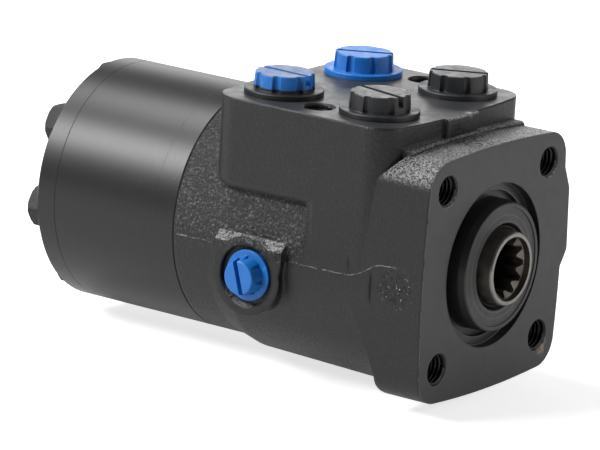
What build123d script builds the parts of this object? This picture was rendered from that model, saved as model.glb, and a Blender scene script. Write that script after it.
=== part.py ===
from build123d import *
import os
from math import atan, cos, degrees, hypot, pi, radians, sin, sqrt

# Frame: origin on the shaft axis at the column flange's face, +X out of the flange along the shaft,
# +Z through the port face, millimetres.

# Stack along the shaft
HOUSING_LENGTH = 98.2
PLATE_THICKNESS = 9.1
GEAR_WIDTH = 40.9
COVER_THICKNESS = 7.9
BARREL_R = 40.8
COVER_RIM_CHAMFER = 0.9

# Column flange
FLANGE_HALF_WIDTH = 40.4
FLANGE_HALF_HEIGHT = 40.8
FLANGE_CENTRE_Z = -0.6
FLANGE_CROWN = 1.9
FLANGE_CORNER_R = 9.5
FLANGE_DEPTH = 17.5
FLANGE_HOLE_SPACING = 58.34
M10_HOLE_R = 5.0
M10_HOLE_DEPTH = 16.0
HOLE_CHAMFER = 0.5
RECESS_R = 27.05
RECESS_DEPTH = 3.3
GROOVE_R = 24.1
GROOVE_DEPTH = 5.2
NOSE_BOSS_R = 21.6
NOSE_BOSS_TIP_R = 21.1
NOSE_BOSS_SHOULDER_X = 0.6
NOSE_BOSS_X = 3.2

# Port block
PORT_FACE_Z = 47.6
BLOCK_REAR_X = -86.3
BLOCK_FRONT_X = -14.2
BLOCK_FRONT_CROWN = 3.0
BLOCK_LEFT_Y = -40.5
BLOCK_RIGHT_Y = 38.5
BLOCK_CORNER_R = 9.5
BLOCK_LEDGE_Z = 17.5
BLOCK_LEDGE_CORNER_R = 7.0
COLUMN_REAR_X = -46.5
COLUMN_FOOT_Z = -8.0
WEB_TOP_X = -29.0
WEB_TOP_DROP = 1.0
WEB_FOOT_RISE = 9.0
OVERCUT = 1.0
CAST_EDGE = 3.0
SHOULDER_TOP_X = -14.5
SHOULDER_TOP_Z = 38.0
SHOULDER_FOOT_X = -29.5
SHOULDER_FOOT_Z = 20.5
BEAD_RISE = 1.3
BEAD_FRONT_X = -12.4
BEAD_HALF_WIDTH = 32.3
BEAD_FOOT_Z = 28.6
PAD_LOW_Y = -12.5
PAD_HIGH_Y = 5.5
PAD_FOOT_Z = 41.0
PAD_RISE = 1.5
PAD_EDGE = 0.9

# Belly of the casting
BELLY_REAR_X = -77.0
BELLY_RAMP_X = -85.0
BELLY_FRONT_X = -20.0
BELLY_REAR_DROP = 2.4
BELLY_FRONT_DROP = 4.0

# Boss along the right side, which holds the relief valve
BOSS_RISE = 3.0
BOSS_LOW_Z = -9.5
BOSS_TOP_Z = 27.5
BOSS_REAR_X = -76.0
BOSS_ROOT = 14.0
BOSS_LOW_SLOPE = (4.5, 7.0)
BOSS_TOP_SLOPE = (5.0, 9.0)
BOSS_LEAN = 1.0

# Load-sensing port, on the left side
LS_X = -66.6
LS_Z = -9.1
LS_RISE = 2.6
LS_PAD_R = 13.0
LS_PAD_FRONT_X = -53.0
LS_PAD_TOP_Z = 1.0
LS_BEVEL = 3.4
LS_PAD_END_HEIGHT = 3.0
LS_PAD_END_R = 2.0
LS_PAD_TOE_ANGLE = -30.0
LS_SPOT_R = 10.2
LS_SPOT_DEPTH = 2.4
LS_BORE_R = 6.6
LS_BORE_DEPTH = 13.0

# Main ports
PORT_REAR_X = -70.4
PORT_FRONT_X = -32.7
PORT_Y = 22.3
PORT_BORE_R = 10.4
PORT_BORE_DEPTH = 15.0
PORT_CHAMFER = 0.8
PORT_CHANNEL_R = 3.4
PORT_BOLT_X = -51.0
PORT_BOLT_Y = 29.6

# Main bore and its annular channels: left, right, pressure, tank
MAIN_BORE_R = 19.05
CHANNEL_DEPTH = 5.45
CHANNEL_WIDTH = 5.0
LEFT_CHANNEL_X = -47.5
RIGHT_CHANNEL_X = -57.0
PRESSURE_CHANNEL_X = -66.0
TANK_CHANNEL_X = -75.5

# Gear set
LOBES = 7
ROTOR_TEETH = LOBES - 1
GEAR_WALL = 6.8
LOBE_R = 8.3
ECCENTRICITY = 3.9
MESH_CLEARANCE = 0.12
TIP_CLEARANCE = 0.15
ROTOR_STEPS = 24
ROTOR_CROWDING = 0.85
ROTOR_SIDE_CLEARANCE = 0.03
COMMUTATION_INSET = 7.5
COMMUTATION_HOLE_R = 2.4
COMMUTATION_DEPTH = 11.2
COMMUTATION_LINK_R = 2.0
PLATE_BORE_R = 14.0

# Cover screws
SCREW_INSET = 2.2
SCREW_PHASE = 87.1
SCREW_R = 4.0
SCREW_HOLE_CLEARANCE = 0.3
SCREW_REACH = 18.0
HEX_ACROSS_FLATS = 13.0
HEX_HEIGHT = 4.8
WASHER_R = 7.4
WASHER_THICKNESS = 0.8
CHECK_SCREW_INDEX = 5

# O-rings of the stack
O_RING_INSET = 2.9
O_RING_WIDTH = 1.6
O_GROOVE_WIDTH = 2.0
O_GROOVE_DEPTH = 1.2

# Rotating set
RUN_CLEARANCE = 0.05
SLEEVE_PORT_R = 1.4
SLEEVE_TIMING_R = 1.3
SLEEVE_PORT_PHASE = 30.0
SPOOL_GROOVE_R = 1.5
SPOOL_END_SETBACK = 0.2
SPOOL_SHOULDER_SETBACK = 0.5
SPOOL_NOSE_CHAMFER = (0.6, 0.4)
SPLINE_LEAD_IN = 1.6
SPLINE_RIM = 0.6
SLEEVE_INNER_R = 14.55
SPOOL_NOSE_R = 12.1
SPOOL_NOSE_X = 7.0
SPOOL_CAVITY_R = 11.0
SPOOL_WEB_X = -15.0
SPOOL_WEB_THICKNESS = 3.0
SPLINE_TEETH = 12
SPLINE_PITCH_R = 9.525
SPLINE_SPACE = 2.49
SPLINE_FLANK = 0.577
SPLINE_MAJOR_R = 10.35
SPLINE_MINOR_R = 8.7
SPLINE_SETBACK = 2.2
SPLINE_LENGTH = 17.0
NOSE_MOUTH_R = 10.55
CROSS_PIN_X = -40.0
CROSS_PIN_R = 4.0
CROSS_PIN_CLEARANCE = 0.02
DEFLECTION = 10.0
SPRING_SLOT_FRONT_X = -20.0
SPRING_SLOT_LENGTH = 10.0
SPRING_SLOT_HALF_HEIGHT = 3.2
FLAT_LEAF = 0.8
ARCHED_LEAF = 0.5
LEAF_SIDE_PLAY = 0.2
SPRING_RING_LAP = 0.9
RETAINER_THICKNESS = 1.0
FRAME_GAP = 0.05

# Front seals and thrust bearing
DUST_SEAL_R = 19.5
DUST_SEAL_DEPTH = 6.4
DUST_SEAL_FACE_X = 2.9
LIP_OUTER_R = 14.4
LIP_R = 13.3
LIP_TIP_X = 2.2
SHAFT_BORE_R = 12.6
SHAFT_SEAL_R = 16.0
SHAFT_SEAL_FRONT_X = -5.4
SHAFT_SEAL_LENGTH = 4.0
SEAL_CLEARANCE = 0.1
SEAL_LIP_RELIEF = 1.2
SEAL_LIP_ROOT_X = -0.6
SEAL_LIP_HEEL_X = -1.6
SHAFT_SEAL_BEVEL = (1.4, 0.8)
FRONT_RACE = 3.0
REAR_RACE = 1.5
NEEDLE_R = 1.25
NEEDLE_LENGTH = 4.6
NEEDLE_COUNT = 18
CAGE_THICKNESS = 1.3
CAGE_SIDE_PLAY = 0.1
NEEDLE_POCKET_PLAY = 0.04

# Cardan shaft and spacer
CARDAN_SHANK_R = 6.5
CARDAN_HEAD_R = 10.0
CARDAN_HEAD_HALF = 9.0
CARDAN_NECK_R = 8.0
CARDAN_SPLINE_DEPTH = 18.7
CARDAN_SPLINE_LENGTH = 12.0
CARDAN_TIP_R = 9.9
CARDAN_ROOT_R = 8.0
CARDAN_TOOTH_THINNING = 0.9
FORK_CLEARANCE = 0.12
ROTOR_SPLINE_MINOR_R = 8.8
ROTOR_SPLINE_MAJOR_R = 10.9
SPACER_R = 8.5
SPACER_LENGTH = 12.5
SPACER_END_CLEARANCE = 0.05

# Check valve under one cover screw
CHECK_BALL_R = 3.4
CHECK_CHAMBER_R = 3.6
CHECK_CHAMBER_DEPTH = 19.2
CHECK_SCREW_REACH = 8.2
CHECK_SEAT_R = 2.2
CHECK_CHAMBER_LENGTH = 10.0
CHECK_LIFT = 1.5
BUSHING_LENGTH = 5.0
BUSHING_BORE_R = 1.9
STOP_PIN_R = 1.5
BUSHING_SLOT = (1.6, 1.2)

# Relief valve in the right-hand boss
RELIEF_X = -66.0
RELIEF_Z = 9.0
RELIEF_BORE_R = 5.0
RELIEF_SEAT_Y = 26.5
RELIEF_SEAT_R = 1.7
RELIEF_CONE_R = 3.2
RELIEF_CONE_TIP = (1.2, 0.5)
RELIEF_CONE_FLARE = 2.2
RELIEF_COLLAR = 3.4
RELIEF_GUIDE = (5.0, 1.5)
RELIEF_LIFT = 0.8
RELIEF_SPRING_TURNS = 4
RELIEF_SPRING_R = 2.5
RELIEF_WIRE_R = 0.45
ADJUSTER_LENGTH = 3.0
ADJUSTER_SOCKET = (4.0, 2.0)
RELIEF_PLUG_R = 7.0
RELIEF_PLUG_LENGTH = 4.2
RELIEF_PLUG_SOCKET = (6.0, 2.8)
RELIEF_PLUG_SETBACK = 0.6
RELIEF_PLUG_CHAMFER = 0.5
RELIEF_O_RING = 1.2

# Protection plugs
PLUG_FLANGE_R = 13.0
PLUG_FLANGE = 1.8
PLUG_HEAD_R = 9.95
PLUG_HEAD_TAPER = 0.35
PLUG_HEAD_HEIGHT = 5.4
PLUG_EDGE = 0.5
PLUG_RIM_EDGE = 0.3
PLUG_STEM_CLEARANCE = 0.1
PLUG_STEM_LENGTH = 9.0
PLUG_WALL = 1.6
PLUG_FLUTES = 8
PLUG_FLUTE_PLACE = 1.03
PLUG_FLUTE_SHARE = 0.15
PLUG_SLOT_WIDTH = 2.0
PLUG_SLOT_DEPTH = 3.6
LS_PLUG_SLOT_WIDTH = 1.6
LS_PLUG_FLANGE_R = 8.45
LS_PLUG_FLANGE = 1.5
LS_PLUG_HEAD_R = 6.5
LS_PLUG_HEAD_TAPER = 1.0
LS_PLUG_HEAD_HEIGHT = 5.0
LS_PLUG_SLOT_ANGLE = 106.3
LS_PLUG_STEM_LENGTH = 8.0

# How near two stations count as one when edges are picked
TOUCH = 0.1

# Stations that follow from the stack
BOSS_HIGH_Y = BARREL_R + BOSS_RISE
LS_FACE_Y = -BARREL_R - LS_RISE
LOBE_CIRCLE_R = BARREL_R - GEAR_WALL
COMMUTATION_R = LOBE_CIRCLE_R - COMMUTATION_INSET
SCREW_CIRCLE_R = LOBE_CIRCLE_R - SCREW_INSET
O_RING_CENTRE_R = BARREL_R - O_RING_INSET
CHANNEL_R = MAIN_BORE_R + CHANNEL_DEPTH
REAR_X = -HOUSING_LENGTH
COMMUTATION_X = REAR_X + COMMUTATION_DEPTH
PLATE_REAR_X = REAR_X - PLATE_THICKNESS
GEAR_REAR_X = PLATE_REAR_X - GEAR_WIDTH
COVER_REAR_X = GEAR_REAR_X - COVER_THICKNESS
CARDAN_SPLINE_X = PLATE_REAR_X - CARDAN_SPLINE_DEPTH
CHECK_SCREW_TIP_X = REAR_X + CHECK_SCREW_REACH
CHECK_CHAMBER_REAR_X = REAR_X + CHECK_CHAMBER_DEPTH
CHECK_SEAT_X = CHECK_CHAMBER_REAR_X + CHECK_CHAMBER_LENGTH
FRONT_RACE_X = SHAFT_SEAL_FRONT_X - SHAFT_SEAL_LENGTH
NEEDLE_FRONT_X = FRONT_RACE_X - FRONT_RACE
REAR_RACE_X = NEEDLE_FRONT_X - 2 * NEEDLE_R - 2 * FRAME_GAP
SLEEVE_FRONT_X = REAR_RACE_X - REAR_RACE
SLEEVE_REAR_X = REAR_X + FRAME_GAP
SLEEVE_R = MAIN_BORE_R - RUN_CLEARANCE
SPOOL_R = SLEEVE_INNER_R - RUN_CLEARANCE
SPRING_SLOT_REAR_X = SPRING_SLOT_FRONT_X - SPRING_SLOT_LENGTH
RETAINER_R = SLEEVE_R - RUN_CLEARANCE
SCREW_HOLE_R = SCREW_R + SCREW_HOLE_CLEARANCE
TAP_R = SCREW_R + FRAME_GAP
SCREW_TIP_X = REAR_X + SCREW_REACH
BUSHING_REAR_X = CHECK_CHAMBER_REAR_X - BUSHING_LENGTH
CHECK_BALL_X = CHECK_SEAT_X - sqrt(CHECK_BALL_R**2 - CHECK_SEAT_R**2)
STOP_PIN_X = CHECK_BALL_X - CHECK_BALL_R - CHECK_LIFT - FRAME_GAP
CARDAN_TILT = atan(ECCENTRICITY / (CROSS_PIN_X - CARDAN_SPLINE_X))
SLOT_ANGLES = {"p": -2.4, "t": 29.8, "l": -12.9, "r": 27.4}


def rod(radius, start, end):
    """A round bar between two points."""
    reach = Vector(*end) - Vector(*start)
    return extrude(Plane(origin=start, z_dir=reach.normalized()) * Circle(radius), reach.length)


def bar(radius, low_x, high_x, y=0, z=0):
    """A round bar along the shaft direction."""
    return rod(radius, (low_x, y, z), (high_x, y, z))


def tube(outer_r, inner_r, low_x, high_x):
    return bar(outer_r, low_x, high_x) - bar(inner_r, low_x - OVERCUT, high_x + OVERCUT)


def turned(*points):
    """A solid turned about the shaft axis from (x, radius) corners."""
    return revolve(make_face(Polyline(*points, close=True)), Axis.X)


def around(radius, index, count=LOBES, phase=SCREW_PHASE):
    """The (y, z) place of one member of a pattern about the shaft."""
    angle = radians(phase + 360 * index / count)
    return radius * cos(angle), radius * sin(angle)


def section_plane(x):
    """Plane across the shaft, with its u along +Y and its v along +Z."""
    return Plane(origin=(x, 0, 0), x_dir=(0, 1, 0), z_dir=(1, 0, 0))


def flange_outline(rise=0):
    """Crowned square with rounded corners, grown evenly by rise."""
    half_y = FLANGE_HALF_WIDTH + rise
    half_z = FLANGE_HALF_HEIGHT + rise
    inner_y = half_y - FLANGE_CROWN
    inner_z = half_z - FLANGE_CROWN
    corners = [(-inner_y, -inner_z), (inner_y, -inner_z), (inner_y, inner_z), (-inner_y, inner_z)]
    crests = [(0, -half_z), (half_y, 0), (0, half_z), (-half_y, 0)]
    sides = [ThreePointArc(corners[i], crests[i], corners[(i + 1) % 4]) for i in range(4)]
    face = make_face(sides)
    return Pos(0, FLANGE_CENTRE_Z) * fillet(face.vertices(), FLANGE_CORNER_R + rise)


def side_profile():
    """Outline of block, column and flange as seen from the left, in X and Z."""
    top = PORT_FACE_Z
    foot = FLANGE_CENTRE_Z - FLANGE_HALF_HEIGHT
    low = foot - OVERCUT
    outline = Polyline(
        (BLOCK_REAR_X, top),
        (BLOCK_REAR_X, BLOCK_LEDGE_Z),
        (COLUMN_REAR_X, BLOCK_LEDGE_Z),
        (COLUMN_REAR_X, COLUMN_FOOT_Z),
        (WEB_TOP_X, COLUMN_FOOT_Z - WEB_TOP_DROP),
        (-FLANGE_DEPTH, foot + WEB_FOOT_RISE),
        (-FLANGE_DEPTH, low),
        (0, low),
        (0, top),
        close=True,
    )
    face = make_face(outline)
    ledge_corner = face.vertices().sort_by_distance((BLOCK_REAR_X, BLOCK_LEDGE_Z, 0))[0]
    face = fillet(ledge_corner, BLOCK_LEDGE_CORNER_R)
    heel = face.vertices().sort_by_distance((-FLANGE_DEPTH, low, 0))[0]
    face = fillet(heel, BLOCK_LEDGE_CORNER_R)
    return extrude(Plane.XZ * face, FLANGE_HALF_WIDTH + BOSS_HIGH_Y, both=True)


def block_prism():
    """The port block's footprint, with a bowed front wall, carried far down."""
    corner_x = BLOCK_FRONT_X - BLOCK_FRONT_CROWN
    middle_y = (BLOCK_LEFT_Y + BLOCK_RIGHT_Y) / 2
    low = (corner_x, BLOCK_LEFT_Y)
    high = (corner_x, BLOCK_RIGHT_Y)
    front = ThreePointArc(low, (BLOCK_FRONT_X, middle_y), high)
    back = Polyline(high, (BLOCK_REAR_X, BLOCK_RIGHT_Y), (BLOCK_REAR_X, BLOCK_LEFT_Y), low)
    face = make_face([front, back])
    face = fillet(face.vertices(), BLOCK_CORNER_R)
    return extrude(Plane.XY.offset(COLUMN_FOOT_Z) * face, PORT_FACE_Z - COLUMN_FOOT_Z)


def cast_round_edges(block):
    """Edges softened in the casting: the block's lower rim and the column's upright ones."""
    chosen = []
    for edge in block.edges():
        box = edge.bounding_box()
        rim = box.max.X < COLUMN_REAR_X + TOUCH and box.min.Z > BLOCK_LEDGE_Z - TOUCH
        rim = rim and box.max.Z < BLOCK_LEDGE_Z + BLOCK_LEDGE_CORNER_R + TOUCH
        rim = rim and box.max.Y - box.min.Y < 2 * BLOCK_CORNER_R
        upright = max(abs(box.min.X - COLUMN_REAR_X), abs(box.max.X - COLUMN_REAR_X)) < TOUCH
        upright = upright and box.max.Y - box.min.Y < TOUCH
        if rim or upright:
            chosen.append(edge)
    return chosen


def port_block():
    """Block and column with their cast rounding."""
    block = block_prism() & side_profile()
    return fillet(cast_round_edges(block), CAST_EDGE)


def column_flange():
    """Flange plate whose upper corners slope back into the block."""
    plate = extrude(section_plane(COLUMN_REAR_X) * flange_outline(), -COLUMN_REAR_X)
    wedge = Polyline(
        (SHOULDER_TOP_X, PORT_FACE_Z),
        (SHOULDER_TOP_X, SHOULDER_TOP_Z),
        (SHOULDER_FOOT_X, SHOULDER_FOOT_Z),
        (COLUMN_REAR_X, SHOULDER_FOOT_Z),
        (COLUMN_REAR_X, PORT_FACE_Z),
        close=True,
    )
    return plate - extrude(Plane.XZ * make_face(wedge), 2 * FLANGE_HALF_WIDTH, both=True)


def belly():
    """Round underside of the casting, deeper towards the flange."""
    def ring(x, drop):
        return section_plane(x) * Pos(0, -drop) * Circle(BARREL_R)

    ramp = loft([ring(BELLY_RAMP_X, 0), ring(BELLY_REAR_X, BELLY_REAR_DROP)])
    main = loft([ring(BELLY_REAR_X, BELLY_REAR_DROP), ring(BELLY_FRONT_X, BELLY_FRONT_DROP)])
    return ramp + main


def side_boss():
    """Long boss on the right, sloping off above and below."""
    outline = Polyline(
        (BOSS_HIGH_Y - BOSS_ROOT, BOSS_LOW_Z),
        (BOSS_HIGH_Y - BOSS_LOW_SLOPE[0], BOSS_LOW_Z),
        (BOSS_HIGH_Y, BOSS_LOW_Z + BOSS_LOW_SLOPE[1]),
        (BOSS_HIGH_Y - BOSS_LEAN, BOSS_TOP_Z - BOSS_TOP_SLOPE[1]),
        (BOSS_HIGH_Y - BOSS_TOP_SLOPE[0], BOSS_TOP_Z),
        (BOSS_HIGH_Y - BOSS_ROOT, BOSS_TOP_Z),
        close=True,
    )
    face = make_face(outline)
    outer = face.vertices().sort_by(Axis.X)[-4:]
    return extrude(section_plane(BOSS_REAR_X) * fillet(outer, CAST_EDGE), -BOSS_REAR_X)


def ls_pad():
    """Boss round the load-sensing port, with a sloping cast top."""
    rear_x = LS_X - LS_PAD_R
    depth = -LS_FACE_Y - BARREL_R / 2
    face_plane = Plane(origin=(0, LS_FACE_Y, 0), x_dir=(1, 0, 0), z_dir=(0, -1, 0))
    round_part = extrude(face_plane * Pos(LS_X, LS_Z) * Circle(LS_PAD_R), -depth)
    top_z = LS_PAD_TOP_Z + LS_BEVEL
    toe = radians(LS_PAD_TOE_ANGLE)
    outline = Polyline(
        (rear_x, LS_Z),
        (rear_x, top_z),
        (LS_PAD_FRONT_X, top_z),
        (LS_PAD_FRONT_X, LS_PAD_TOP_Z - LS_PAD_END_HEIGHT),
        (LS_X + LS_PAD_R * cos(toe), LS_Z + LS_PAD_R * sin(toe)),
        close=True,
    )
    upper = extrude(face_plane * make_face(outline), -depth)
    top_edge = upper.edges().filter_by(Axis.X).group_by(Axis.Z)[-1].sort_by(Axis.Y)[0]
    upper = chamfer(top_edge, LS_BEVEL)
    front_edges = upper.edges().filter_by(Axis.Y).group_by(Axis.X)[-1]
    return round_part + fillet(front_edges, LS_PAD_END_R)


def cast_pad():
    """Low cast pad on the middle of the block's front wall."""
    width = PAD_HIGH_Y - PAD_LOW_Y
    height = PORT_FACE_Z - PAD_FOOT_Z
    wall_x = BLOCK_FRONT_X - BLOCK_FRONT_CROWN
    pad = Box(PAD_RISE + BLOCK_FRONT_CROWN, width, height, align=(Align.MIN, Align.MIN, Align.MIN))
    pad = Pos(wall_x, PAD_LOW_Y, PAD_FOOT_Z) * pad
    front_edges = pad.edges().group_by(Axis.X)[-1]
    return fillet(front_edges, PAD_EDGE)


def flange_bead():
    """Low rounded step along the top of the flange, where it runs into the block."""
    length = BEAD_FRONT_X - COLUMN_REAR_X
    bead = extrude(section_plane(COLUMN_REAR_X) * flange_outline(BEAD_RISE), length)
    bead = fillet(bead.edges().group_by(Axis.X)[-1], BEAD_RISE)
    zone = Pos(COLUMN_REAR_X, 0, BEAD_FOOT_Z) * Box(
        length, 2 * BEAD_HALF_WIDTH, PORT_FACE_Z - BEAD_FOOT_Z, align=(Align.MIN, Align.CENTER, Align.MIN))
    return bead & zone & side_profile()


def casting():
    """Outside of the housing before machining."""
    body = (column_flange() & side_profile()) + port_block() + flange_bead()
    barrel = bar(BARREL_R, REAR_X, WEB_TOP_X)
    return body + barrel + belly() + side_boss() + ls_pad() + cast_pad()


def main_bore():
    """Everything turned out of the housing about the shaft axis."""
    cut = turned(
        (REAR_X - OVERCUT, 0),
        (REAR_X - OVERCUT, MAIN_BORE_R),
        (FRONT_RACE_X, MAIN_BORE_R),
        (FRONT_RACE_X, SHAFT_SEAL_R),
        (SHAFT_SEAL_FRONT_X, SHAFT_SEAL_R),
        (SHAFT_SEAL_FRONT_X, SHAFT_BORE_R),
        (NOSE_BOSS_X - DUST_SEAL_DEPTH, SHAFT_BORE_R),
        (NOSE_BOSS_X - DUST_SEAL_DEPTH, DUST_SEAL_R),
        (NOSE_BOSS_X + OVERCUT, DUST_SEAL_R),
        (NOSE_BOSS_X + OVERCUT, 0),
    )
    for x in (LEFT_CHANNEL_X, RIGHT_CHANNEL_X, PRESSURE_CHANNEL_X, TANK_CHANNEL_X):
        cut += tube(CHANNEL_R, MAIN_BORE_R - OVERCUT, x - CHANNEL_WIDTH / 2, x + CHANNEL_WIDTH / 2)
    return cut


def pilot_recess():
    """Stepped ring-shaped recess in the flange, round the nose boss."""
    return turned(
        (1, NOSE_BOSS_R),
        (-GROOVE_DEPTH, NOSE_BOSS_R),
        (-GROOVE_DEPTH, GROOVE_R),
        (-RECESS_DEPTH, GROOVE_R),
        (-RECESS_DEPTH, RECESS_R),
        (1, RECESS_R),
    )


def nose_boss():
    return turned(
        (-GROOVE_DEPTH, 0),
        (-GROOVE_DEPTH, NOSE_BOSS_R),
        (NOSE_BOSS_SHOULDER_X, NOSE_BOSS_R),
        (NOSE_BOSS_X - 0.3, NOSE_BOSS_TIP_R),
        (NOSE_BOSS_X, NOSE_BOSS_TIP_R - 0.3),
        (NOSE_BOSS_X, 0),
    )


def blind_hole(radius, depth, mouth, inward, countersink=HOLE_CHAMFER):
    """Blind round hole with a drill point and a chamfered mouth."""
    way = Vector(*inward).normalized()
    start = Vector(*mouth)
    plane = Plane(origin=start, z_dir=way)
    shaft = extrude(plane * Circle(radius), depth)
    point = plane * Pos(0, 0, depth) * Cone(radius, radius * 0.1, radius * 0.6, align=(
        Align.CENTER, Align.CENTER, Align.MIN))
    rim = plane * Cone(radius + countersink, radius, countersink, align=(
        Align.CENTER, Align.CENTER, Align.MIN))
    return shaft + point + rim


def tapped_holes():
    half = FLANGE_HOLE_SPACING / 2
    holes = []
    for y in (-half, half):
        for z in (-half, half):
            holes.append(blind_hole(M10_HOLE_R, M10_HOLE_DEPTH, (0, y, z), (-1, 0, 0)))
    for y in (-PORT_BOLT_Y, PORT_BOLT_Y):
        mouth = (PORT_BOLT_X, y, PORT_FACE_Z)
        holes.append(blind_hole(M10_HOLE_R, M10_HOLE_DEPTH, mouth, (0, 0, -1)))
    for index in range(LOBES):
        if index != CHECK_SCREW_INDEX:
            mouth = (REAR_X, *around(SCREW_CIRCLE_R, index))
            holes.append(blind_hole(TAP_R, SCREW_REACH + 1, mouth, (1, 0, 0)))
    return holes


def port_passages():
    """The four ports and the drillings from them to the annular channels."""
    floor_z = PORT_FACE_Z - PORT_BORE_DEPTH
    targets = [
        (PORT_REAR_X, -PORT_Y, PRESSURE_CHANNEL_X),
        (PORT_REAR_X, PORT_Y, TANK_CHANNEL_X),
        (PORT_FRONT_X, -PORT_Y, LEFT_CHANNEL_X),
        (PORT_FRONT_X, PORT_Y, RIGHT_CHANNEL_X),
    ]
    cuts = []
    for x, y, channel_x in targets:
        mouth = (x, y, PORT_FACE_Z)
        cuts.append(blind_hole(PORT_BORE_R, PORT_BORE_DEPTH, mouth, (0, 0, -1), PORT_CHAMFER))
        side = 1 if channel_x > x else -1
        start_x = x + side * min(abs(channel_x - x), PORT_BORE_R - PORT_CHANNEL_R)
        cuts.append(rod(PORT_CHANNEL_R, (start_x, y, floor_z + 1), (channel_x, y * 0.95, 6)))
    return cuts


def ls_passage():
    face_y = LS_FACE_Y
    spot = rod(LS_SPOT_R, (LS_X, face_y - 1, LS_Z), (LS_X, face_y + LS_SPOT_DEPTH, LS_Z))
    mouth = (LS_X, face_y + LS_SPOT_DEPTH, LS_Z)
    bore = blind_hole(LS_BORE_R, LS_BORE_DEPTH, mouth, (0, 1, 0))
    drill = rod(RELIEF_SEAT_R, (LS_X, -CHANNEL_R - 6, LS_Z), (PRESSURE_CHANNEL_X, -MAIN_BORE_R, LS_Z))
    return [spot, bore, drill]


def commutation_passages():
    """Seven axial channels to the distributor plate, each with a link to the main bore."""
    cuts = []
    for index in range(LOBES):
        y, z = around(COMMUTATION_R, index + 0.5)
        cuts.append(bar(COMMUTATION_HOLE_R, REAR_X - OVERCUT, COMMUTATION_X + COMMUTATION_HOLE_R, y, z))
        inner = around(MAIN_BORE_R - OVERCUT, index + 0.5)
        cuts.append(rod(COMMUTATION_LINK_R, (COMMUTATION_X, *inner), (COMMUTATION_X, y, z)))
    return cuts


def check_valve_passage():
    """Screw hole carried on as the ball's chamber, its seat and the link to the pressure channel."""
    y, z = around(SCREW_CIRCLE_R, CHECK_SCREW_INDEX)
    inner = around(MAIN_BORE_R - OVERCUT, CHECK_SCREW_INDEX)
    return [
        bar(TAP_R, REAR_X - OVERCUT, CHECK_CHAMBER_REAR_X, y, z),
        bar(CHECK_CHAMBER_R, CHECK_CHAMBER_REAR_X, CHECK_SEAT_X, y, z),
        bar(CHECK_SEAT_R, CHECK_SEAT_X, PRESSURE_CHANNEL_X, y, z),
        rod(CHECK_SEAT_R, (PRESSURE_CHANNEL_X, *inner), (PRESSURE_CHANNEL_X, y, z)),
    ]


def relief_passage():
    x, z = RELIEF_X, RELIEF_Z
    shoulder_y = relief_shoulder_y()
    return [
        rod(RELIEF_SEAT_R, (x, MAIN_BORE_R, z), (x, RELIEF_SEAT_Y, z)),
        rod(RELIEF_BORE_R, (x, RELIEF_SEAT_Y, z), (x, shoulder_y, z)),
        rod(RELIEF_PLUG_R, (x, shoulder_y, z), (x, BOSS_HIGH_Y + 2, z)),
    ]


def make_housing():
    body = casting() - pilot_recess() + nose_boss() - main_bore()
    for cut in tapped_holes() + port_passages() + ls_passage():
        body -= cut
    for cut in commutation_passages() + check_valve_passage() + relief_passage():
        body -= cut
    return body


def bolt_cuts(radius, low_x, high_x):
    cuts = []
    for index in range(LOBES):
        y, z = around(SCREW_CIRCLE_R, index)
        cuts.append(bar(radius, low_x - OVERCUT, high_x + OVERCUT, y, z))
    return cuts


def seal_groove(face_x, inward):
    """Ring groove for an O-ring, cut from one face; inward is the way into the metal."""
    ends = sorted((face_x, face_x + inward * O_GROOVE_DEPTH))
    half = O_GROOVE_WIDTH / 2
    return tube(O_RING_CENTRE_R + half, O_RING_CENTRE_R - half, *ends)


def make_o_ring(face_x, inward):
    ends = sorted((face_x, face_x + inward * O_GROOVE_DEPTH))
    half = O_RING_WIDTH / 2
    ring = tube(O_RING_CENTRE_R + half, O_RING_CENTRE_R - half, *ends)
    return fillet(ring.edges().filter_by(GeomType.CIRCLE), O_RING_WIDTH / 4)


def make_distributor_plate():
    body = bar(BARREL_R, PLATE_REAR_X, REAR_X) - bar(PLATE_BORE_R, PLATE_REAR_X - OVERCUT, REAR_X + OVERCUT)
    for cut in bolt_cuts(SCREW_HOLE_R, PLATE_REAR_X, REAR_X):
        body -= cut
    for index in range(LOBES):
        y, z = around(COMMUTATION_R, index + 0.5)
        body -= bar(COMMUTATION_HOLE_R, PLATE_REAR_X - OVERCUT, REAR_X + OVERCUT, y, z)
    return body - seal_groove(REAR_X, -1)


def make_gear_ring():
    """Ring with seven round lobes, each over one cover screw."""
    cavity_r = LOBE_CIRCLE_R + 2 * ECCENTRICITY - LOBE_R + TIP_CLEARANCE
    cavity = bar(cavity_r, GEAR_REAR_X - OVERCUT, PLATE_REAR_X + OVERCUT)
    body = bar(BARREL_R, GEAR_REAR_X, PLATE_REAR_X) - cavity
    limit = bar(BARREL_R - 1, GEAR_REAR_X, PLATE_REAR_X)
    for index in range(LOBES):
        y, z = around(LOBE_CIRCLE_R, index)
        body += bar(LOBE_R, GEAR_REAR_X, PLATE_REAR_X, y, z) & limit
    for cut in bolt_cuts(SCREW_HOLE_R, GEAR_REAR_X, PLATE_REAR_X):
        body -= cut
    return body - seal_groove(PLATE_REAR_X, -1) - seal_groove(GEAR_REAR_X, 1)


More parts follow.
